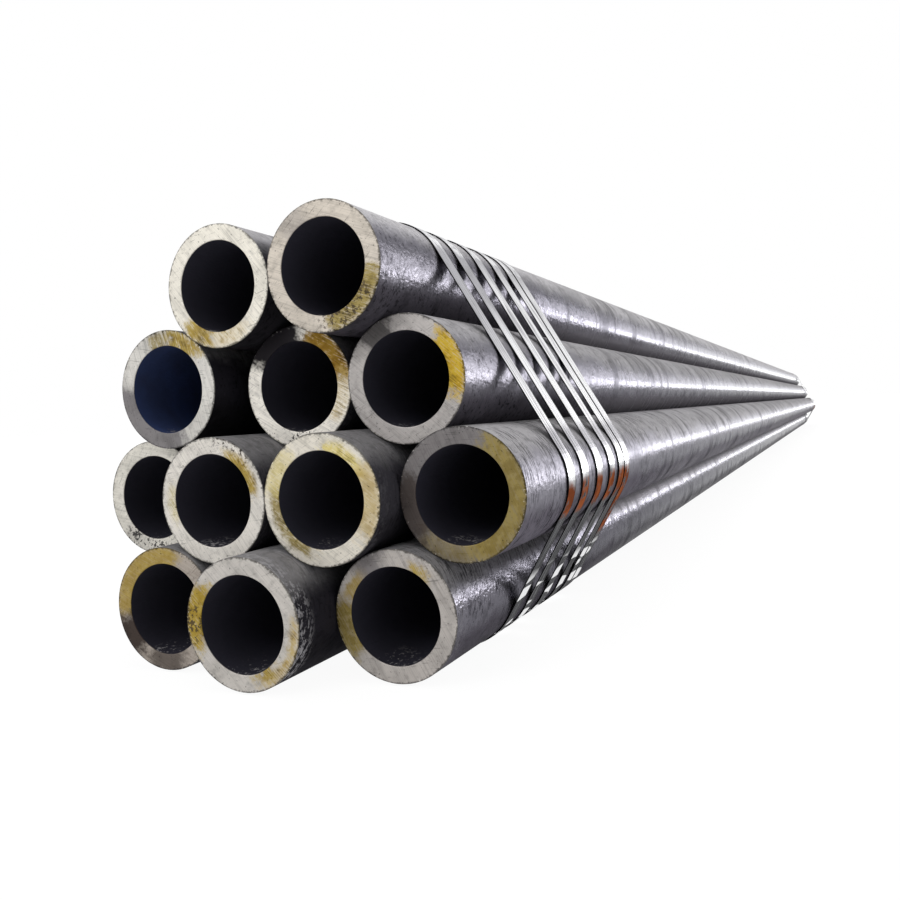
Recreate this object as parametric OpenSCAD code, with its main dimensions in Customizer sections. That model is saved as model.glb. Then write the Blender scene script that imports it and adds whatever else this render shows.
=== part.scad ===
// Strapped bundle of thick-walled steel pipes, as it lies on a level floor.
// Twelve pipes nest in rows of three, four, three and two, and a group of flat steel straps
// near each end holds them together. X runs across the bundle, Y along the pipes and Z up.
// The origin is on the floor, below the middle of the bundle.

/* [Pipes] */
// Outside diameter of a pipe
pipe_od = 95; // [60:1:120]
// Wall thickness of a pipe
pipe_wall = 12.5; // [4:0.5:20]
// Length of a pipe
pipe_length = 5800; // [3000:10:12000]
// Clear space between pipes that lie against each other
pipe_gap = 0.3; // [0.2:0.05:0.5]
// Edge break on the inner and outer edges of the sawn ends
edge_break = 0.6; // [0.2:0.1:1.5]

/* [Stacking] */
// How far the left pipe of the second row has rolled away from its neighbour
second_row_slack = 3; // [0:0.5:10]
// Clear space between the left and the middle pipe of the third row
third_row_space = 14.5; // [0:0.5:20]
// How far each front end of the bottom row lies behind the foremost one, from left to right
bottom_set_back = [31, 0, 46]; // [0:1:120]
// The same for the second row
second_set_back = [82, 35, 34, 62]; // [0:1:120]
// The same for the third row
third_set_back = [64, 86, 80]; // [0:1:120]
// The same for the top row
top_set_back = [61, 53]; // [0:1:120]

/* [Straps] */
// Width of a strap
strap_width = 19; // [12:0.5:32]
// Thickness of a strap
strap_thickness = 0.8; // [0.5:0.1:1.5]
// Clear space between a strap and the pipes that it bends around
strap_clearance = 0.3; // [0.2:0.05:0.5]
// Distance from the foremost pipe end to the near edge of the first strap of its group
first_strap = 154.5; // [125:0.5:400]
// Clear spaces between the straps of a group, counted from the pipe ends
strap_spaces = [20, 25.5, 24, 16, 3.5]; // [3:0.5:60]
// Length over which the two ends of a strap lie on each other
lap_length = 60; // [50:1:70]

/* [Seals] */
// Length of the sleeve that is crimped over the lapped strap ends
seal_length = 32; // [24:1:40]
// Wall thickness of the sleeve
seal_wall = 1; // [0.6:0.1:1.2]
// Clear space between the sleeve and the strap inside it
seal_clearance = 0.2; // [0.1:0.05:0.25]
// Open width between the lips that fold under the strap
lip_space = 7; // [3:0.5:9]
// Radius of the crimp notches in the edges of seal and strap
notch_radius = 3; // [2:0.25:4]
// How deep a crimp notch cuts into the edge of the strap
notch_depth = 1.2; // [0.6:0.1:2]

/* [Hidden] */
$fn = 96;
through = 1;

// Stacking: every centre is an [x, z] point over the floor
pitch = pipe_od + pipe_gap;
row_rise = pitch * sin(60);
base_z = strap_thickness + strap_clearance + pipe_od / 2;
middle_x = second_row_slack / 2;

// Height at which a pipe at x comes to rest on the higher of the pipes below it
function resting_z(x, below) = max([
    for (p = below) if (abs(x - p.x) < pitch) p.y + sqrt(pitch ^ 2 - (x - p.x) ^ 2)]);
function resting(x, below) = [x, resting_z(x, below)];

// Centre of a pipe that lies in the groove between two others
function nested(a, b) =
    let (span = b - a, half = norm(span) / 2, rise = sqrt(pitch ^ 2 - half ^ 2))
    (a + b) / 2 + rise * [-span.y, span.x] / norm(span);

bottom_row = [for (i = [-1 : 1]) [middle_x + i * pitch, base_z]];
second_right = [for (i = [-0.5 : 1.5]) [middle_x + i * pitch, base_z + row_rise]];
second_left = resting(middle_x - 1.5 * pitch - second_row_slack, [bottom_row[0]]);
second_row = concat([second_left], second_right);
third_right = [for (i = [0 : 1]) [middle_x + i * pitch, base_z + 2 * row_rise]];
third_left = resting(middle_x - pitch - third_row_space, [second_row[0], second_row[1]]);
third_row = concat([third_left], third_right);
top_row = [nested(third_row[0], third_row[1]), nested(third_row[1], third_row[2])];

PIPE_NODES = [
    "bottom_left_pipe", "bottom_middle_pipe", "bottom_right_pipe",
    "second_row_left_pipe", "second_row_inner_left_pipe",
    "second_row_inner_right_pipe", "second_row_right_pipe",
    "third_row_left_pipe", "third_row_middle_pipe", "third_row_right_pipe",
    "top_left_pipe", "top_right_pipe"];
pipe_centres = concat(bottom_row, second_row, third_row, top_row);
set_backs = concat(bottom_set_back, second_set_back, third_set_back, top_set_back);
bundle_length = pipe_length + max(set_backs) - min(set_backs);
front_y = -bundle_length / 2;

// Strap loop: bends round the pipes at the corners of the bundle, with straight runs between them
loop_corners = [
    bottom_row[0], bottom_row[2], second_row[3], top_row[1], top_row[0], third_row[0], second_row[0]];
corner_count = len(loop_corners);
loop_radius = pipe_od / 2 + strap_clearance;
bend_steps = 14;
lap_root = strap_thickness / 2;
top_run = 3;
function corner(i) = loop_corners[(i + corner_count) % corner_count];
function run_vector(i) = corner(i + 1) - corner(i);
function run_angle(i) = atan2(run_vector(i).y, run_vector(i).x);
function bend_angle(i) = (run_angle(i) - run_angle(i - 1) + 360) % 360;
function outward(angle) = [sin(angle), -cos(angle)];

// Middle of each strap of a group, measured from the end of the bundle
function space_sum(i) = i == 0 ? 0 : strap_spaces[i - 1] + space_sum(i - 1);
strap_count = len(strap_spaces) + 1;
strap_places = [
    for (i = [0 : strap_count - 1]) first_strap + (i + 0.5) * strap_width + space_sum(i)];
GROUPS = ["near", "far"];
function strap_y(group, i) = (group == "near" ? 1 : -1) * (front_y + strap_places[i]);
function strap_node(group, i) = str(group, "_strap_", i + 1);
function seal_node(group, i) = str(group, "_seal_", i + 1);

// One pipe, turned from the section of its wall, with its sawn ends broken at the edges
module pipe(i) {
    outer = pipe_od / 2;
    inner = outer - pipe_wall;
    color("dimgray")
    translate([pipe_centres[i].x, front_y + set_backs[i] - min(set_backs), pipe_centres[i].y])
    rotate([-90, 0, 0])
    rotate_extrude()
    polygon([
        [inner + edge_break, 0], [outer - edge_break, 0],
        [outer, edge_break], [outer, pipe_length - edge_break],
        [outer - edge_break, pipe_length], [inner + edge_break, pipe_length],
        [inner, pipe_length - edge_break], [inner, edge_break]]);
}

// Stands a loop that is drawn in the X-Y plane upright at its place along the pipes
module upright_at(y) {
    translate([0, y, 0]) rotate([90, 0, 0]) children();
}

// Puts X along a run of the loop, with the outer side of the loop towards -Y
module along_run(i) {
    translate(corner(i)) rotate(run_angle(i)) children();
}

// Area inside a loop that bends round the corner pipes at the given radius
module loop_area(radius) {
    polygon([
        for (i = [0 : corner_count - 1], k = [0 : bend_steps])
            corner(i) + radius * outward(run_angle(i - 1) + k / bend_steps * bend_angle(i))]);
}

// Middle of the top run, on the seam between the two lapped strap ends
module at_lap() {
    along_run(top_run)
    translate([norm(run_vector(top_run)) / 2, -loop_radius - strap_thickness, 0])
    children();
}

// Pairs of round cutters that bite into both edges of the lapped strap and the seal
module crimp_notches() {
    for (along = [-1, 1], side = [-1, 1])
        translate([
            along * seal_length / 4, 0, side * (strap_width / 2 - notch_depth + notch_radius)])
        rotate([90, 0, 0])
        cylinder(r = notch_radius, h = 4 * (strap_thickness + seal_wall), center = true);
}

// One closed strap with its lapped ends on the top run, the upper one rooted in the lower
module strap(y) {
    color("silver")
    upright_at(y)
    difference() {
        linear_extrude(strap_width, center = true) {
            difference() {
                loop_area(loop_radius + strap_thickness);
                loop_area(loop_radius);
            }
            at_lap()
            translate([-lap_length / 2, -strap_thickness])
            square([lap_length, strap_thickness + lap_root]);
        }
        at_lap() crimp_notches();
    }
}

// The sleeve over the lap: open between its lips on the underside, and crimped at its edges
module seal(y) {
    inside = [seal_length + 2 * through,
        2 * (strap_thickness + seal_clearance), strap_width + 2 * seal_clearance];
    outside = [seal_length, inside.y + 2 * seal_wall, inside.z + 2 * seal_wall];
    color("gray")
    upright_at(y)
    at_lap()
    difference() {
        cube(outside, center = true);
        cube(inside, center = true);
        translate([0, outside.y / 2, 0])
        cube([inside.x, outside.y, lip_space], center = true);
        crimp_notches();
    }
}

for (i = [0 : len(PIPE_NODES) - 1])
    pipe(i);
for (g = GROUPS, i = [0 : strap_count - 1]) {
    strap(strap_y(g, i));
    seal(strap_y(g, i));
}
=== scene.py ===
"""A strapped bundle of thick-walled steel pipes on a pale studio floor."""

import math
from functools import partial, reduce
from types import SimpleNamespace

import bpy
from mathutils import Matrix, Vector


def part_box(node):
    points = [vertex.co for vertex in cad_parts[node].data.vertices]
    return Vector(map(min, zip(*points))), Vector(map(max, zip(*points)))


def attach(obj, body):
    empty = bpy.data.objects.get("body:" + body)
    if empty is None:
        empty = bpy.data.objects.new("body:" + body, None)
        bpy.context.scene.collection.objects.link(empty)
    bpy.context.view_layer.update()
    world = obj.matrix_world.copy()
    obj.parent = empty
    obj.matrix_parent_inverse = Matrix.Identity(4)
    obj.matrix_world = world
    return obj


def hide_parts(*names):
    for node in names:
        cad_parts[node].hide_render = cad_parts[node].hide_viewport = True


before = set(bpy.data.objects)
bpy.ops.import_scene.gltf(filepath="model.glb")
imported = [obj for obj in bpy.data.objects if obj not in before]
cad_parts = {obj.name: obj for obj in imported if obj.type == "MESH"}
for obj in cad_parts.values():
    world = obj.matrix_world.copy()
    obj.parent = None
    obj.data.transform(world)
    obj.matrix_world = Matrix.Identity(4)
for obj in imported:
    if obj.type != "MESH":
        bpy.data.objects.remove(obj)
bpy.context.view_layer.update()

# Sizes of the pipes and straps, in metres
PIPE_WALL = 0.0125
EDGE_BREAK = 0.0006
STRAP_WIDTH = 0.019
TOLERANCE = 1e-5

# Sides of a pipe, segments of its broken edges, the angle in degrees up to which faces shade as one,
# and how far a face looks along the pipe to count as a sawn end
ROUND = 160
BREAK_SEGMENTS = 2
SMOOTH_ANGLE = 20
END_FACING = 0.3

# The pipes lie along Y, and this keeps what lies across them
ACROSS = Vector((1, 0, 1))

# Pipes lie against each other when their middles are less than this many radii apart. The painted shade
# in the groove between them starts at one angle from the line of their middles, in degrees, and is full
# at another
NEIGHBOUR_REACH = 2.4
GROOVE_START, GROOVE_FULL = 48, 30

# How far the patterns of one pipe lie from those of the next, so that no two pipes look alike
PATTERN_STRETCH = 7.3

# Directions from the axis of a pipe are told by the clock, as seen from the front. A part of the round
# has soft ends of this many degrees to either side
HOURS_ROUND = 12
DEGREES_AN_HOUR = 360 / HOURS_ROUND
SOFT_END = 5

# Sockets of the mix node for colours, which has others of the same names
MIX_SHARE, MIX_BELOW, MIX_ABOVE, MIX_RESULT = 0, 6, 7, 2


def tone(red, green, blue):
    """A colour as it shows on a screen, from 0 to 255, made ready for a shader."""
    steps = [c / 255 for c in (red, green, blue)]
    return (*[c / 12.92 if c <= 0.04045 else ((c + 0.055) / 1.055) ** 2.4 for c in steps], 1.0)


def cosine(angle):
    """The cosine of an angle in degrees."""
    return math.cos(math.radians(angle))


def clock(hour):
    """The direction of a clock hand on a pipe end."""
    turn = math.radians(DEGREES_AN_HOUR * hour)
    return Vector((math.sin(turn), 0, math.cos(turn)))


class NodeTree:
    """The shader nodes of a material or of the world, added one by one."""

    def __init__(self, owner):
        owner.use_nodes = True
        self.nodes = owner.node_tree.nodes
        self.links = owner.node_tree.links

    def feed(self, socket, value):
        """Links a socket to the output of another node, or sets it to a constant."""
        if isinstance(value, bpy.types.NodeSocket):
            self.links.new(value, socket)
        else:
            socket.default_value = value

    def add(self, kind, values=(), **settings):
        """A new node with its settings made and its sockets fed."""
        node = self.nodes.new(kind)
        for name, setting in settings.items():
            setattr(node, name, setting)
        for socket, value in dict(values).items():
            self.feed(node.inputs[socket], value)
        return node

    def math(self, operation, *values):
        """A number worked out from others."""
        return self.add("ShaderNodeMath", enumerate(values), operation=operation).outputs[0]

    def plus(self, *values):
        """The sum of all values."""
        return reduce(partial(self.math, "ADD"), values)

    def times(self, *values):
        """The product of all values."""
        return reduce(partial(self.math, "MULTIPLY"), values)

    def most(self, *values):
        """The largest of all values."""
        return reduce(partial(self.math, "MAXIMUM"), values)

    def rest(self, share):
        """What a share leaves of 1."""
        return self.math("SUBTRACT", 1.0, share)

    def vector(self, operation, *values):
        """A vector, or for some operations a number, worked out from vectors."""
        node = self.add("ShaderNodeVectorMath", enumerate(values), operation=operation)
        return node.outputs["Value" if operation in ("DOT_PRODUCT", "LENGTH") else "Vector"]

    def step(self, value, low, high, start=0.0, end=1.0):
        """Passes softly from start at low to end at high, where low may be the larger."""
        return self.add(
            "ShaderNodeMapRange",
            {"Value": value, "From Min": low, "From Max": high, "To Min": start, "To Max": end},
            interpolation_type="SMOOTHSTEP").outputs["Result"]

    def own_place(self):
        """Object coordinates."""
        return self.add("ShaderNodeTexCoord").outputs["Object"]

    def shown(self):
        """1 for what the camera sees, itself or in metal and glass, and 0 for the light that falls."""
        path = self.add("ShaderNodeLightPath").outputs
        return self.most(path["Is Camera Ray"], path["Is Glossy Ray"], path["Is Transmission Ray"])


class Finish(NodeTree):
    """A material with one shader, and the patterns in front of it."""

    def __init__(self, name, **constants):
        self.material = bpy.data.materials.new(name)
        super().__init__(self.material)
        self.shader = self.nodes["Principled BSDF"]
        self.done(**constants)

    def done(self, **sockets):
        """Feeds sockets of the shader, named with underscores, and gives the material."""
        for socket, value in sockets.items():
            self.feed(self.shader.inputs[socket.replace("_", " ")], value)
        return self.material

    def place(self, origin):
        """Object coordinates counted from a point."""
        return self.add(
            "ShaderNodeMapping", {"Vector": self.own_place(), "Location": -Vector(origin)}).outputs[0]

    def turned(self, place, angle, axis="Y"):
        """The same place, turned about one axis by an angle in degrees."""
        turn = [math.radians(angle) if axis == name else 0 for name in "XYZ"]
        return self.add("ShaderNodeMapping", {"Vector": place, "Rotation": turn}).outputs[0]

    def parts(self, place):
        """The three coordinates of a place."""
        return self.add("ShaderNodeSeparateXYZ", {"Vector": place}).outputs

    def around(self, place):
        """The direction from the axis of a pipe to a place that is counted from its middle."""
        return self.vector("NORMALIZE", self.vector("MULTIPLY", place, ACROSS))

    def between(self, middle, start, end):
        """1 from one clock hour to another round a pipe, with soft ends."""
        hand = clock((start + end) / 2)
        reach = DEGREES_AN_HOUR * (end - start) / 2
        return self.step(
            self.vector("DOT_PRODUCT", self.around(self.place(middle)), hand),
            cosine(reach + SOFT_END), cosine(reach - SOFT_END))

    def noise(self, place, size, detail, rough=0.55):
        """Cloudy noise whose grain is about size long, along each axis if size is three lengths."""
        sizes = size if isinstance(size, tuple) else (size,) * 3
        grain = self.vector("MULTIPLY", place, tuple(1 / s for s in sizes))
        return self.add(
            "ShaderNodeTexNoise",
            {"Vector": grain, "Scale": 1.0, "Detail": detail, "Roughness": rough}).outputs["Fac"]

    def centred(self, noise, strength):
        """A noise moved to swing round zero."""
        return self.times(self.math("SUBTRACT", noise, 0.5), strength)

    def blend(self, share, below, above, how="MIX"):
        """One colour laid over another."""
        return self.add(
            "ShaderNodeMix", {MIX_SHARE: share, MIX_BELOW: below, MIX_ABOVE: above},
            data_type="RGBA", blend_type=how).outputs[MIX_RESULT]

    def shade(self, share, colour, depth):
        """A colour multiplied by depth where share is 1, which lightens it if depth is over 1."""
        return self.blend(share, colour, (depth, depth, depth, 1), "MULTIPLY")

    def relief(self, height, strength, depth):
        """Fine relief in the surface, with its depth in metres."""
        bump = self.add("ShaderNodeBump", {"Height": height, "Strength": strength, "Distance": depth})
        self.done(Normal=bump.outputs[0])


# Paint, rust and grime on the sawn ends, and painted shade: the grey only as painted shade, soot and
# umber as painted shade and as grit
OCHRE = tone(156, 130, 44)
MUSTARD = tone(184, 150, 30)
OLIVE = tone(132, 114, 52)
AMBER = tone(176, 152, 92)
YELLOW = tone(206, 188, 104)
BROWN = tone(130, 98, 26)
UMBER_AND_SHADE = tone(60, 50, 45)
SOOT_AND_SHADOW = tone(30, 27, 31)
SHADE = tone(104, 100, 104)

# How a mark lies on the steel: streaky paint, a thin wash of it, smooth painted shade, or loose grit.
# Each strays from its place by its own amount, and paint has the cover of its thin spots and the depth of
# its streaks
PAINT = SimpleNamespace(stray=1.0, thin=0.4, streak=0.5)
WASH = SimpleNamespace(stray=0.7, thin=0.7, streak=0.85)
PAINTED_SHADE = SimpleNamespace(stray=0.7)
GRIT = SimpleNamespace(stray=0.5)

# Which part of the wall a mark keeps to
BORE, WALL, RIM = 1, 0, -1

# Clock hours past its end over which a mark comes in
MARK_FADE = (0.35, -0.25)

# Distances from the rim of a pipe end, in metres, over which its chips and its dark edge come in
CHIPPED_RIM = (0.004, 0.001)
DARK_RIM = (0.0016, 0.0002)

# Scratches cross the saw lines at this angle, in degrees
SCRATCH_TURN = 65


def mark(start, end, kind, colour, cover, side=WALL):
    """A mark on a pipe end, from one clock hour to another."""
    return SimpleNamespace(start=start, end=end, kind=kind, colour=colour, cover=cover, side=side)


def pipe_end(bare, slope, *marks):
    """A sawn end: its bare tone, the slope of its saw lines in degrees, and the marks on it."""
    return SimpleNamespace(bare=bare, slope=slope, marks=marks)


# Smooth marks on the ends are painted shade, and flecked marks are grit
ENDS = {
    "top_left_pipe": pipe_end(
        tone(236, 231, 219), 40,
        mark(4.9, 6.4, PAINT, AMBER, 0.6), mark(6.4, 7.5, PAINT, OCHRE, 1.0)),
    "top_right_pipe": pipe_end(
        tone(208, 199, 187), 70,
        mark(3.4, 5.7, PAINT, OLIVE, 1.0), mark(10.4, 11.4, PAINTED_SHADE, SHADE, 0.35),
        mark(3.8, 6.2, GRIT, UMBER_AND_SHADE, 0.8)),
    "third_row_left_pipe": pipe_end(
        tone(216, 213, 207), 15,
        mark(12.2, 1.6, PAINT, OCHRE, 1.0), mark(11.2, 12.3, PAINT, OLIVE, 0.75),
        mark(5.4, 9.2, PAINTED_SHADE, SHADE, 0.85)),
    "third_row_middle_pipe": pipe_end(
        # This end's bare tone is lifted to make up for the shade it lies in: painted light
        tone(255, 250, 240), 60,
        mark(12.4, 2.8, PAINT, BROWN, 1.15), mark(2.6, 4.3, PAINT, AMBER, 0.6),
        mark(9.9, 12.2, PAINTED_SHADE, SOOT_AND_SHADOW, 1.0), mark(5.5, 6.5, GRIT, SOOT_AND_SHADOW, 1.0)),
    "third_row_right_pipe": pipe_end(
        tone(186, 181, 178), 50,
        mark(10.5, 11.5, PAINTED_SHADE, SOOT_AND_SHADOW, 0.8), mark(1.4, 3.7, PAINT, MUSTARD, 1.05)),
    "second_row_left_pipe": pipe_end(
        tone(224, 220, 210), 80,
        mark(6.3, 7.6, PAINTED_SHADE, SHADE, 0.2), mark(5.4, 7.6, GRIT, SOOT_AND_SHADOW, 0.9)),
    "second_row_inner_left_pipe": pipe_end(
        tone(224, 219, 211), 35,
        mark(12.9, 2.8, PAINT, OCHRE, 1.0, BORE), mark(8.3, 9.5, PAINT, YELLOW, 0.5, BORE),
        mark(12.2, 1.8, GRIT, UMBER_AND_SHADE, 0.9, RIM)),
    "second_row_inner_right_pipe": pipe_end(
        tone(224, 218, 206), 55,
        mark(12.4, 2.0, PAINT, YELLOW, 0.9, BORE), mark(1.9, 4.3, WASH, AMBER, 0.8),
        mark(6.4, 9.4, PAINT, OLIVE, 0.9, BORE), mark(9.3, 10.7, WASH, YELLOW, 0.6)),
    "second_row_right_pipe": pipe_end(
        tone(122, 118, 118), 25,
        mark(1.0, 5.6, WASH, OLIVE, 0.9), mark(5.6, 7.6, WASH, OLIVE, 0.55),
        mark(7.5, 9.6, PAINTED_SHADE, UMBER_AND_SHADE, 0.8)),
    "bottom_left_pipe": pipe_end(
        tone(176, 166, 156), 65,
        mark(8.7, 12.6, WASH, OCHRE, 0.9), mark(7.2, 8.7, PAINTED_SHADE, UMBER_AND_SHADE, 1.0),
        mark(5.3, 6.8, PAINTED_SHADE, UMBER_AND_SHADE, 0.75)),
    "bottom_middle_pipe": pipe_end(
        tone(200, 195, 189), 45,
        mark(8.2, 10.2, PAINT, OCHRE, 1.1), mark(2.9, 5.2, PAINT, AMBER, 0.9, RIM),
        mark(4.6, 5.3, PAINT, OCHRE, 1.0, BORE), mark(8.4, 9.6, GRIT, UMBER_AND_SHADE, 0.8)),
    "bottom_right_pipe": pipe_end(
        tone(184, 178, 173), 30,
        mark(7.6, 9.5, WASH, OLIVE, 1.0), mark(9.5, 10.6, WASH, OCHRE, 0.8, BORE),
        mark(0.8, 1.4, PAINT, OCHRE, 0.9, BORE), mark(10.7, 11.5, PAINTED_SHADE, SHADE, 0.7)),
}


def skin(flank=84, dust_and_sheen=174, rough=0.22, dents=0.7, pits=0.6, scratches=0.4, slope=12, scuffs=0.1):
    """A rolled skin: its grey tones, roughness and wear, and the slope of its scratches in degrees."""
    return SimpleNamespace(
        flank=flank, dust_and_sheen=dust_and_sheen, rough=rough, dents=dents, pits=pits,
        scratches=scratches, slope=slope, scuffs=scuffs)


# The dust tone of a skin is also a painted sheen of the sky on its top
COMMON_SKIN = skin()
SKINS = {
    "top_left_pipe": skin(flank=70, dust_and_sheen=180, scuffs=0.0),
    "third_row_left_pipe": skin(flank=52, rough=0.3, scuffs=0.0),
    "top_right_pipe": skin(
        flank=122, dust_and_sheen=204, rough=0.17, pits=0.8, scratches=0.3, slope=10, scuffs=0.0),
    "third_row_right_pipe": skin(
        flank=126, dust_and_sheen=178, rough=0.19, dents=0.5, pits=1.0, scratches=0.3, slope=10, scuffs=0.0),
    "second_row_right_pipe": skin(
        flank=138, dust_and_sheen=176, dents=0.35, scratches=1.0, slope=6, scuffs=0.0),
    "bottom_right_pipe": skin(
        flank=114, dust_and_sheen=170, rough=0.15, pits=0.8, scratches=1.0, slope=25, scuffs=0.2),
    "bottom_middle_pipe": skin(flank=58, rough=0.25, dents=0.6, pits=0.5, slope=20, scuffs=0.9),
}

# Distances from the front end, in metres, over which each look of a pipe comes in or fades out
PAST_STRAPS = (0.2, 0.6)
DENTS_FADE = (1.2, 0.2)
SCRATCHES_FADE = (0.9, 0.3)
SCUFFS_FADE = (0.022, 0.006)
FLAKES_FADE = (0.05, 0.01)

# The scale in the bores, which is blue in one of them
BLACK_SCALE = tone(58, 57, 68)
BLUE_SCALE = tone(62, 80, 128)
BLUED_PIPE = "third_row_left_pipe"


def read_pipe(node):
    """Middle of the front end, middle, radius and length of a pipe of the frame."""
    low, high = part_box(node)
    middle = (low + high) / 2
    return SimpleNamespace(
        name=node, front=Vector((middle.x, low.y, middle.z)), middle=middle,
        outer=(high.z - low.z) / 2, length=high.y - low.y)


def touching(pipe, others):
    """The directions in which other pipes lie against a pipe."""
    ways = [(other.middle - pipe.middle) * ACROSS for other in others if other is not pipe]
    return [way.normalized() for way in ways if way.length < NEIGHBOUR_REACH * pipe.outer]


def mill_scale(pipe):
    """Dark rolled skin, rubbed along the flanks: paler on top with dust and a painted sheen, with painted
    shade underneath and in the grooves.
    """
    look = SKINS.get(pipe.name, COMMON_SKIN)
    f = Finish(pipe.name + "_mill_scale", Specular_Tint=(0.5, 0.5, 0.52, 1), Specular_IOR_Level=0.0)
    place, pattern = f.place(pipe.front), f.place(pipe.pattern)
    along = f.parts(place)["Y"]
    around = f.around(place)
    up = f.parts(around)["Z"]

    cloud = f.noise(pattern, 0.05, detail=5)
    blotch = f.noise(pattern, (0.012, 0.018, 0.012), detail=4, rough=0.6)
    grain = f.noise(pattern, 0.0018, detail=3, rough=0.6)
    scratch = f.noise(f.turned(pattern, look.slope, "X"), (0.016, 0.002, 0.016), detail=4, rough=0.65)
    speckle = f.noise(pattern, 0.0045, detail=4, rough=0.7)
    dents = f.noise(pattern, (0.003, 0.005, 0.003), detail=1)
    rings = f.noise(f.turned(pattern, 5, "Z"), (0.12, 0.03, 0.12), detail=6, rough=0.7)
    bands = f.noise(pattern, (0.25, 0.08, 0.25), detail=3)

    # Where the skin lies: beyond the straps or near the end, on top with dust and a painted sheen, or out
    # of the light with painted shade underneath and in the grooves
    beyond = f.step(along, *PAST_STRAPS)
    near = f.rest(beyond)
    height = f.plus(up, f.centred(cloud, 0.4), f.centred(blotch, 0.3))
    # Dust on top, which also stands for a painted sheen of the sky
    dust_and_sheen = f.step(f.plus(height, f.times(beyond, 0.2)), 0.32, 0.8)
    # Darker underneath: painted shade
    shaded_underside = f.step(height, -0.12, -0.45)
    facing = f.most(*[f.vector("DOT_PRODUCT", around, side) for side in pipe.touching])
    # Painted shade in the grooves where pipes lie against each other
    groove_shading = f.step(facing, cosine(GROOVE_START), cosine(GROOVE_FULL))

    # What has marked it
    ringed = f.times(f.step(rings, 0.5, 0.6), beyond)
    scratched = f.times(
        f.step(scratch, 0.5, 0.6), f.step(cloud, 0.4, 0.52), f.step(along, *SCRATCHES_FADE))
    pitted = f.step(f.plus(speckle, f.centred(cloud, 0.3)), 0.57, 0.63)
    pitted = f.times(pitted, f.rest(f.times(dust_and_sheen, 0.6)))
    scuffed = f.step(f.plus(speckle, f.centred(scratch, 0.8)), 0.48, 0.6)
    scuffed = f.times(scuffed, f.step(along, *SCUFFS_FADE))

    # Paler on top with dust and a painted sheen, and darker underneath with painted shade
    steel = tone(look.flank, look.flank - 2, look.flank + 5)
    dusty_sheen = tone(look.dust_and_sheen, look.dust_and_sheen - 2, look.dust_and_sheen)
    underside_shade = tone(0.8 * look.flank, 0.77 * look.flank, 0.84 * look.flank)
    colour = f.blend(shaded_underside, f.blend(dust_and_sheen, steel, dusty_sheen), underside_shade)
    colour = f.shade(f.step(blotch, 0.5, 0.68), colour, 0.68)
    colour = f.shade(f.step(speckle, 0.44, 0.3), colour, 1.3)
    colour = f.shade(f.times(f.step(bands, 0.45, 0.65), beyond), colour, 0.78)
    colour = f.shade(f.times(scratched, look.scratches), colour, 0.3)
    colour = f.shade(ringed, colour, 0.58)
    colour = f.shade(f.times(pitted, look.pits), colour, 0.3)
    # Painted shade in the grooves near the end, and painted light lifting them past the straps
    colour = f.shade(f.times(groove_shading, near), colour, 0.7)
    colour = f.blend(f.times(groove_shading, beyond, 0.8), colour, tone(128, 125, 130))
    colour = f.blend(f.times(scuffed, look.scuffs), colour, tone(178, 176, 180))

    roughness = f.plus(
        look.rough, f.centred(grain, 0.15), f.centred(blotch, 0.15),
        f.times(ringed, 0.15), f.times(dust_and_sheen, 0.25), f.times(near, 0.13))
    fine = f.times(dents, look.dents, f.step(along, *DENTS_FADE))
    f.relief(f.plus(fine, f.times(rings, 0.6), f.times(blotch, 0.5)), strength=1.0, depth=0.0006)
    hidden = f.times(f.most(shaded_underside, groove_shading), f.math("SUBTRACT", 0.88, f.times(beyond, 0.2)))
    matt = f.most(f.times(dust_and_sheen, 0.5), hidden)
    return f.done(Base_Color=colour, Roughness=roughness, Metallic=f.rest(matt))


def end_patterns(f, pipe, slope):
    """The noises and distances on a pipe end, with saw lines at a slope and scratches across them."""
    flat = f.vector("MULTIPLY", f.place(pipe.front), ACROSS)
    pattern = f.place(pipe.pattern)
    lined = f.turned(pattern, slope)
    crossed = f.turned(pattern, slope + SCRATCH_TURN)
    p = SimpleNamespace(
        reach=f.vector("LENGTH", flat),
        around=f.vector("NORMALIZE", flat),
        saw=f.noise(lined, (0.0006, 1.0, 0.03), detail=2),
        broad=f.noise(lined, (0.004, 1.0, 0.04), detail=3),
        streaks=f.noise(lined, (0.0009, 1.0, 0.012), detail=3, rough=0.6),
        scratch=f.noise(crossed, (0.0009, 1.0, 0.014), detail=3),
        haze=f.noise(pattern, 0.03, detail=3),
        cloud=f.noise(pattern, 0.012, detail=4),
        blot=f.noise(pattern, 0.006, detail=4),
        specks=f.noise(pattern, 0.002, detail=3),
        grit=f.noise(pattern, 0.003, detail=2, rough=0.7))

    # Distance from the nibbled rim, and from the middle of the wall towards the bore
    nibbled = f.plus(p.reach, f.centred(p.specks, 0.004), f.centred(p.blot, 0.003))
    p.from_rim = f.math("SUBTRACT", pipe.outer, nibbled)
    p.outermost = f.step(p.from_rim, *CHIPPED_RIM)
    p.inward = f.times(f.math("SUBTRACT", pipe.outer - PIPE_WALL / 2, p.reach), 2 / PIPE_WALL)

    # How the edges of a mark stray, where paint has kept, and where it lies thick or in streaks
    p.ragged = f.plus(f.centred(p.cloud, 1.6), f.centred(p.broad, 1.0), f.centred(p.specks, 0.8))
    p.kept = f.plus(
        f.centred(p.streaks, 3.0), f.centred(p.blot, 1.4), f.centred(p.specks, 0.8),
        f.times(p.outermost, -0.35))
    p.thick = f.step(f.plus(p.blot, f.centred(p.cloud, 0.8)), 0.35, 0.6)
    p.streaked = f.step(f.plus(p.streaks, f.centred(p.cloud, 0.9)), 0.52, 0.7)
    return p


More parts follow.
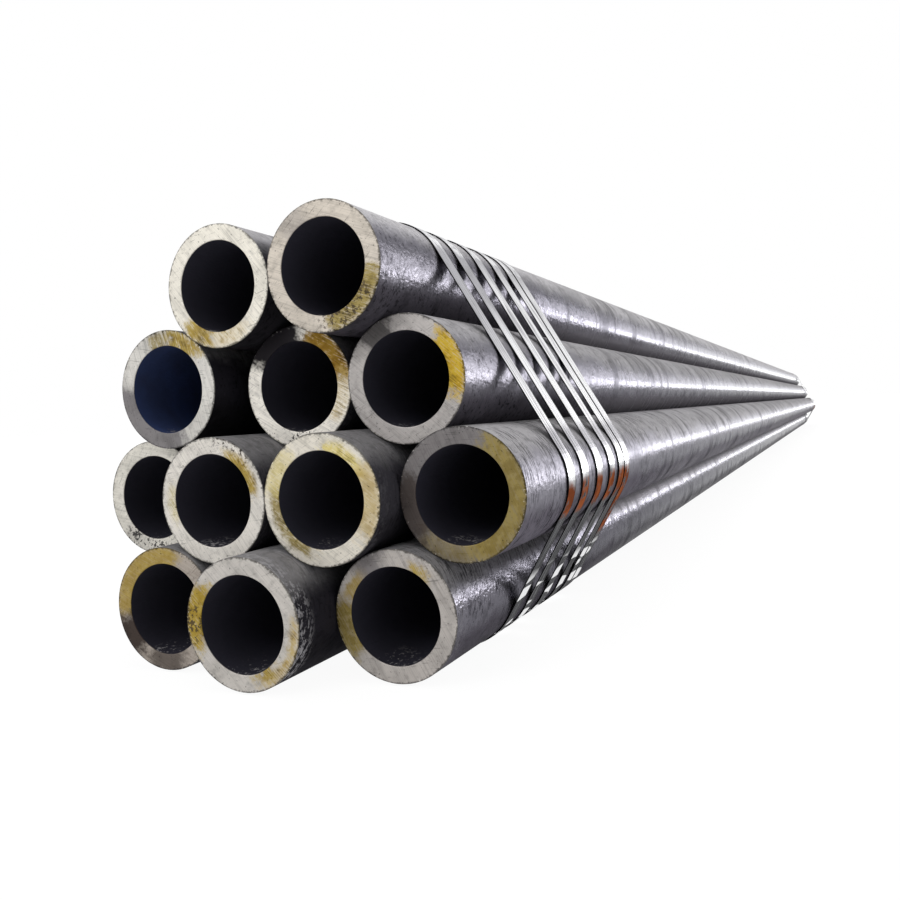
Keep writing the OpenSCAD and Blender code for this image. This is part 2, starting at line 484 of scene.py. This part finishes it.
def mark_area(f, p, one):
    """Where a mark lies on a pipe end."""
    half = (one.end - one.start) % HOURS_ROUND / 2
    turn = f.math("ARCCOSINE", f.vector("DOT_PRODUCT", p.around, clock(one.start + half)))
    hours = f.times(turn, HOURS_ROUND / math.tau)
    area = f.step(f.plus(hours, -half, f.times(p.ragged, one.kind.stray)), *MARK_FADE)
    if one.side == WALL:
        return area
    lean = f.plus(f.times(p.inward, one.side), f.times(p.ragged, 0.9))
    return f.times(area, f.step(lean, -0.6, 0.3))


def lay_mark(f, p, one, colour):
    """The colour of a pipe end with one more mark over it."""
    area = mark_area(f, p, one)
    if one.kind in (PAINT, WASH):
        amount = f.times(f.step(f.plus(p.kept, one.cover), 0.3, 1.0), 0.95 - one.kind.thin)
        share = f.times(area, f.plus(amount, one.kind.thin * one.cover))
        pale = tuple(c ** 0.86 for c in one.colour)
        tint = f.shade(p.streaked, f.blend(p.thick, pale, one.colour), one.kind.streak)
    else:
        # Smooth painted shade, or grit in flecks
        share = f.times(area, one.cover)
        if one.kind is GRIT:
            share = f.times(share, f.step(p.grit, 0.55, 0.58))
        tint = f.shade(f.step(p.cloud, 0.45, 0.7), one.colour, 0.7)
    return f.blend(share, colour, tint)


def sawn_end(pipe):
    """Bare sawn steel with saw lines, its own smears of paint, rust and grime, and painted shade."""
    end = ENDS[pipe.name]
    f = Finish(pipe.name + "_sawn_end", Metallic=0.3, Specular_IOR_Level=0.15)
    p = end_patterns(f, pipe, end.slope)

    colour = f.shade(f.step(p.saw, 0.45, 0.75), end.bare, 0.74)
    colour = f.shade(f.step(p.broad, 0.48, 0.75), colour, 0.8)
    colour = f.shade(f.step(p.haze, 0.45, 0.65), colour, 0.87)
    colour = f.shade(f.step(p.blot, 0.5, 0.72), colour, 0.78)
    colour = f.shade(f.step(p.scratch, 0.6, 0.72), colour, 0.55)
    for one in end.marks:
        colour = lay_mark(f, p, one, colour)
    colour = f.shade(f.step(p.from_rim, *DARK_RIM), colour, 0.3)
    colour = f.shade(f.step(p.specks, 0.62, 0.7), colour, 0.3)
    chips = f.times(f.step(p.specks, 0.38, 0.32), p.outermost)
    colour = f.blend(f.times(chips, 0.5), colour, tone(240, 238, 232))

    f.relief(f.plus(p.saw, p.broad), strength=0.25, depth=0.0003)
    return f.done(Base_Color=colour, Roughness=f.plus(0.5, f.centred(p.cloud, 0.3)))


def bore_skin(pipe):
    """Near-black scale inside the pipe, with flakes lying near the mouth."""
    f = Finish(pipe.name + "_bore", Metallic=0.0, Specular_IOR_Level=0.1)
    place, pattern = f.place(pipe.front), f.place(pipe.pattern)
    along = f.parts(place)["Y"]
    up = f.parts(f.around(place))["Z"]
    cloud = f.noise(pattern, 0.03, detail=4)
    flakes = f.noise(pattern, (0.0022, 0.0035, 0.0022), detail=3)
    flaked = f.times(
        f.step(f.plus(flakes, f.centred(cloud, 0.6)), 0.57, 0.68),
        f.step(up, -0.86, -0.97), f.step(along, *FLAKES_FADE))

    scale = BLUE_SCALE if pipe.name == BLUED_PIPE else BLACK_SCALE
    colour = f.blend(cloud, scale, tone(45, 44, 52))
    colour = f.blend(flaked, colour, tone(165, 162, 163))
    f.relief(flakes, strength=0.3, depth=0.0006)
    return f.done(Base_Color=colour, Roughness=f.plus(0.6, f.centred(cloud, 0.3)))


def off_axis(pipe, point):
    """How far a point lies from the axis of a pipe."""
    return math.hypot(point.x - pipe.middle.x, point.z - pipe.middle.z)


def model_tube(pipe):
    """A drawn tube: its skin, then its wall inside that, then the broken edges of both ends."""
    bpy.ops.object.select_all(action="DESELECT")
    bpy.ops.mesh.primitive_cylinder_add(
        vertices=ROUND, radius=pipe.outer, depth=pipe.length, end_fill_type="NOTHING",
        location=pipe.middle, rotation=(math.radians(90), 0, 0))
    tube = bpy.context.object
    bpy.ops.object.transform_apply(location=True, rotation=True, scale=True)

    wall = tube.modifiers.new("wall", "SOLIDIFY")
    wall.thickness = PIPE_WALL
    wall.offset = -1
    bpy.ops.object.modifier_apply(modifier=wall.name)

    bpy.ops.object.mode_set(mode="EDIT")
    bpy.ops.mesh.select_mode(type="EDGE")
    bpy.ops.mesh.select_all(action="DESELECT")
    bpy.ops.object.mode_set(mode="OBJECT")
    points = tube.data.vertices
    for edge in tube.data.edges:
        a, b = (points[i].co for i in edge.vertices)
        same_end = abs(a.y - b.y) < TOLERANCE
        edge.select = same_end and abs(off_axis(pipe, a) - off_axis(pipe, b)) < TOLERANCE
    bpy.ops.object.mode_set(mode="EDIT")
    bpy.ops.mesh.bevel(offset=EDGE_BREAK, segments=BREAK_SEGMENTS, affect="EDGES")
    bpy.ops.object.mode_set(mode="OBJECT")
    bpy.ops.object.shade_smooth_by_angle(angle=math.radians(SMOOTH_ANGLE))
    return tube


def copy_tube(tube, shift):
    """The same tube at another place, with a mesh of its own."""
    bpy.ops.object.select_all(action="DESELECT")
    tube.select_set(True)
    bpy.context.view_layer.objects.active = tube
    bpy.ops.object.duplicate()
    other = bpy.context.object
    other.location = shift
    bpy.ops.object.transform_apply(location=True, rotation=True, scale=True)
    return other


def finish_tube(piece, pipe):
    """Puts a tube in the stead of a pipe of the frame, with its skin, its sawn ends and its bore."""
    piece.name = pipe.name + "_tube"
    finishes = [mill_scale, sawn_end, bore_skin]
    for finish in finishes:
        piece.data.materials.append(finish(pipe))
    for face in piece.data.polygons:
        if abs(face.normal.y) > END_FACING:
            face.material_index = finishes.index(sawn_end)
        elif off_axis(pipe, face.center) < pipe.outer - PIPE_WALL / 2:
            face.material_index = finishes.index(bore_skin)
    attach(piece, "root")
    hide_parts(pipe.name)


pipes = [read_pipe(node) for node in ENDS]
first, *others = pipes
tubes = [model_tube(first)]
tubes += [copy_tube(tubes[0], pipe.middle - first.middle) for pipe in others]
for number, (pipe, tube) in enumerate(zip(pipes, tubes)):
    pipe.pattern = pipe.front - Vector((0, PATTERN_STRETCH * number, 0))
    pipe.touching = touching(pipe, pipes)
    finish_tube(tube, pipe)

# The pipes over which the straps bend with a painted highlight, and with rust
HIGHLIGHT_BEND = "top_right_pipe"
RUSTY_BEND = "second_row_right_pipe"

# Clock hours between which the painted highlight and the rust lie. Rust reaches lower on the last strap
# of a group
HIGHLIGHT_START, HIGHLIGHT_END = 1.2, 2.0
RUST_START = 3.1
RUST_ENDS = {"6": 5.4}
COMMON_RUST_END = 4.1

# How high over the middle of the bundle the painted sheen reaches, which is less on the first straps
SHEEN_TOPS = {"1": 0.05, "2": 0.09}
COMMON_SHEEN_TOP = 0.14

# Heights from the middle of a strap's loop, in metres, over which each look of it comes in: paler zinc
# lower down as painted light, painted shade on a bend, grime and painted shade underneath, painted glints
PALE_LIGHT_FROM = (0.13, 0.02)
BEND_SHADE_FROM, BEND_SHADE_TO = (0.006, -0.006), (-0.036, -0.026)
GRIME_AND_SHADE_FROM = (-0.03, -0.05)
PAINTED_GLINTS_FROM = (-0.108, -0.122)

# Painted glints lie on the right half of a strap, and its cut edge comes in over these distances from the
# edge
PAINTED_GLINTS_SIDE = (0.0, 0.03)
CUT_EDGE = (0.001, 0.0003)

# The cut edges of the straps, in painted shadow at the near end and in painted light at the far end
EDGE_SHADOW_AND_LIGHT = {"near": tone(20, 19, 22), "far": tone(214, 214, 216)}


def strapping(strap, rusty_pipe, highlight_pipe):
    """Bright zinc strap, rusty on a lower bend, with a painted highlight where it bends over the top,
    painted sheen and glints, painted shade on a bend, and grime and painted shade underneath.
    """
    group, number = strap.split("_strap_")
    rust_end = RUST_ENDS.get(number, COMMON_RUST_END)
    sheen_top = SHEEN_TOPS.get(number, COMMON_SHEEN_TOP)
    low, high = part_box(strap)
    f = Finish(strap + "_zinc", Specular_Tint=(0.85, 0.85, 0.85, 1), Specular_IOR_Level=0.0)
    x, y, z = f.parts(f.place((low + high) / 2))
    place = f.own_place()

    cloud = f.noise(place, 0.02, detail=3)
    lines = f.noise(place, (0.1, 0.0012, 0.1), detail=2)
    patch = f.noise(place, (0.009, 0.012, 0.009), detail=3)
    gloss = f.noise(place, (0.06, 0.014, 0.06), detail=3)
    bars = f.noise(place, (1.0, 0.06, 0.008), detail=0)

    # Where the zinc has a painted highlight and sheen, painted shade on a bend, grime and painted shade
    # underneath, painted glints, rust, and its cut edge
    painted_highlight = f.times(f.between(highlight_pipe.front, HIGHLIGHT_START, HIGHLIGHT_END), f.step(patch, 0.35, 0.62))
    # Painted sheen on the straps below a height
    painted_sheen = f.times(f.step(gloss, 0.32, 0.48), f.step(z, sheen_top + 0.02, sheen_top - 0.03))
    bend = f.times(f.step(z, *BEND_SHADE_FROM), f.step(z, *BEND_SHADE_TO))
    shaded_underside = f.step(f.plus(z, f.centred(cloud, 0.02)), *GRIME_AND_SHADE_FROM)
    painted_glint = f.times(f.step(bars, 0.53, 0.56), f.step(z, *PAINTED_GLINTS_FROM), f.step(x, *PAINTED_GLINTS_SIDE))
    rust = f.times(f.between(rusty_pipe.front, RUST_START, rust_end), f.step(patch, 0.34, 0.5))
    edge = f.step(f.math("SUBTRACT", STRAP_WIDTH / 2, f.math("ABSOLUTE", y)), *CUT_EDGE)

    bend_shade = f.blend(f.step(lines, 0.4, 0.6), tone(190, 188, 194), tone(128, 127, 132))
    # Grime and painted shade for the underside of the straps
    dirty = f.blend(f.step(lines, 0.54, 0.64), tone(50, 50, 54), tone(140, 141, 144))
    rusty = f.blend(f.step(cloud, 0.4, 0.6), tone(164, 92, 56), tone(128, 70, 44))
    # Paler lower down and greyer at the top: painted light
    colour = f.blend(f.step(z, *PALE_LIGHT_FROM), tone(174, 173, 179), tone(230, 229, 233))
    colour = f.shade(f.step(cloud, 0.45, 0.7), colour, 0.75)
    # Painted highlight and painted sheen in near-white
    colour = f.blend(f.most(painted_highlight, painted_sheen), colour, tone(250, 250, 252))
    colour = f.shade(f.step(lines, 0.48, 0.62), colour, 0.62)
    # Painted shade where the straps bend
    colour = f.blend(bend, colour, bend_shade)
    # Darker underneath: grime and painted shade
    colour = f.blend(shaded_underside, colour, dirty)
    # Painted glints in near-white
    colour = f.blend(painted_glint, colour, tone(252, 252, 253))
    colour = f.blend(rust, colour, rusty)
    # Cut edges in painted shadow on the near group and painted light on the far group
    colour = f.blend(edge, colour, EDGE_SHADOW_AND_LIGHT[group])

    matt = f.most(rust, f.times(f.math("SUBTRACT", shaded_underside, painted_glint), 0.75))
    f.relief(lines, strength=0.1, depth=0.0002)
    return f.done(
        Base_Color=colour, Metallic=f.rest(matt), Roughness=f.plus(0.27, f.times(rust, 0.4)))


def sleeve(seal):
    """Dull zinc of a crimped seal, scratched by the crimping tool and dirty in patches."""
    f = Finish(seal + "_dull_zinc", Metallic=0.8)
    place = f.own_place()
    cloud = f.noise(place, 0.008, detail=4)
    rub = f.noise(f.turned(place, 20, "Z"), (0.012, 0.0008, 0.012), detail=3)
    colour = f.blend(cloud, tone(150, 149, 153), tone(112, 111, 116))
    colour = f.shade(f.step(rub, 0.5, 0.7), colour, 0.6)
    colour = f.shade(f.step(cloud, 0.52, 0.66), colour, 0.7)
    f.relief(rub, strength=0.2, depth=0.0002)
    return f.done(Base_Color=colour, Roughness=f.plus(0.42, f.centred(cloud, 0.4)))


def dress(node, material):
    """Gives a piece of the frame its finish."""
    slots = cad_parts[node].data.materials
    slots.clear()
    slots.append(material)


by_name = {pipe.name: pipe for pipe in pipes}
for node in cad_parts:
    if "_strap_" in node:
        dress(node, strapping(node, by_name[RUSTY_BEND], by_name[HIGHLIGHT_BEND]))
    elif "_seal_" in node:
        dress(node, sleeve(node))

# The floor lies a hair below the straps. Far from the bundle it glows white, and a little less near it
FLOOR_WIDTH = 200
FLOOR_LEVEL = -0.0002
FLOOR_PALE = (0.95, 0.95, 0.95, 1)
FLOOR_GLOW = 1.05
GLOW_NEAR, GLOW_FAR = 0.9, 1.0
GLOW_START, GLOW_END = 3.0, 8.0

# How bright the white surroundings are as light, and as they are seen
SKY_LIGHT, SKY_SEEN = 0.5, 1.0

# The camera stands low at the right of the pipe ends. Its place is in metres, its lens in millimetres
# and its angles in degrees
CAMERA_PLACE = (0.3864, -3.4295, 0.1864)
CAMERA_HEADING, CAMERA_TILT, CAMERA_ROLL = 24.380, 87.693, -2.866
LENS, SENSOR = 35.236, 36

# Strip lamps at the right, beyond the far end: the height of the middle and the height of each band,
# and the brightness of the low and the high band on each stretch along the pipes
STRIP_X = 16
STRIP_BANDS = {"right_low_strip": (1.6, 3.2), "right_high_strip": (8.6, 10.8)}
STRIPS = {(24, 55): (14.0, 3.4), (55, 110): (8.5, 2.1), (110, 400): (3.5, 1.3)}


def make_floor():
    """A wide pale floor that shows white and keeps the shadow of the bundle."""
    bpy.ops.object.select_all(action="DESELECT")
    bpy.ops.mesh.primitive_plane_add(size=FLOOR_WIDTH, location=(0, 0, FLOOR_LEVEL))
    floor = bpy.context.object
    floor.name = "studio_floor"
    material = bpy.data.materials.new("pale_floor")
    tree = NodeTree(material)
    tree.nodes.clear()
    away = tree.vector("LENGTH", tree.own_place())
    share = tree.times(tree.shown(), tree.step(away, GLOW_START, GLOW_END, GLOW_NEAR, GLOW_FAR))
    matt = tree.add("ShaderNodeBsdfDiffuse", {"Color": FLOOR_PALE}).outputs[0]
    glow = tree.add("ShaderNodeEmission", {"Strength": FLOOR_GLOW}).outputs[0]
    both = tree.add("ShaderNodeMixShader", enumerate((share, matt, glow))).outputs[0]
    tree.add("ShaderNodeOutputMaterial", {"Surface": both})
    floor.data.materials.append(material)


def make_surroundings():
    """White all round, with a softer share of it falling on the bundle."""
    world = bpy.data.worlds.new("white_studio")
    bpy.context.scene.world = world
    tree = NodeTree(world)
    background = tree.nodes["Background"].inputs
    tree.feed(background["Color"], (1, 1, 1, 1))
    tree.feed(background["Strength"], tree.step(tree.shown(), 0, 1, SKY_LIGHT, SKY_SEEN))


def softbox(name, place, aim, width, height, brightness):
    """A soft panel lamp of an even brightness, turned towards a point."""
    place, aim = Vector(place), Vector(aim)
    bpy.ops.object.light_add(type="AREA", location=place)
    lamp = bpy.context.object
    lamp.name = name
    lamp.rotation_euler = (aim - place).to_track_quat("-Z", "Y").to_euler()
    lamp.data.shape = "RECTANGLE"
    lamp.data.size = width
    lamp.data.size_y = height
    lamp.data.energy = brightness * math.pi * width * height
    lamp.visible_camera = False


def make_camera():
    """Looks along the bundle from its front right."""
    data = bpy.data.cameras.new("camera")
    data.sensor_width = SENSOR
    data.lens = LENS
    camera = bpy.data.objects.new("camera", data)
    bpy.context.scene.collection.objects.link(camera)
    camera.matrix_world = (
        Matrix.Translation(CAMERA_PLACE)
        @ Matrix.Rotation(math.radians(CAMERA_HEADING), 4, "Z")
        @ Matrix.Rotation(math.radians(CAMERA_TILT), 4, "X")
        @ Matrix.Rotation(math.radians(CAMERA_ROLL), 4, "Z"))
    bpy.context.scene.camera = camera


make_camera()
make_floor()
make_surroundings()
softbox(
    "front_softbox", place=(-2.0, -8.0, 3.5), aim=(0, -2.9, 0.15), width=4, height=3, brightness=3.6)
softbox("top_softbox", place=(0, 0, 4.5), aim=(0, 0, 0), width=4, height=8, brightness=0.9)
for (start, end), levels in STRIPS.items():
    middle = (start + end) / 2
    for (name, (z, height)), brightness in zip(STRIP_BANDS.items(), levels):
        softbox(name, (STRIP_X, middle, z), (0, middle, z), end - start, height, brightness)
bpy.context.scene.view_settings.view_transform = "Standard"
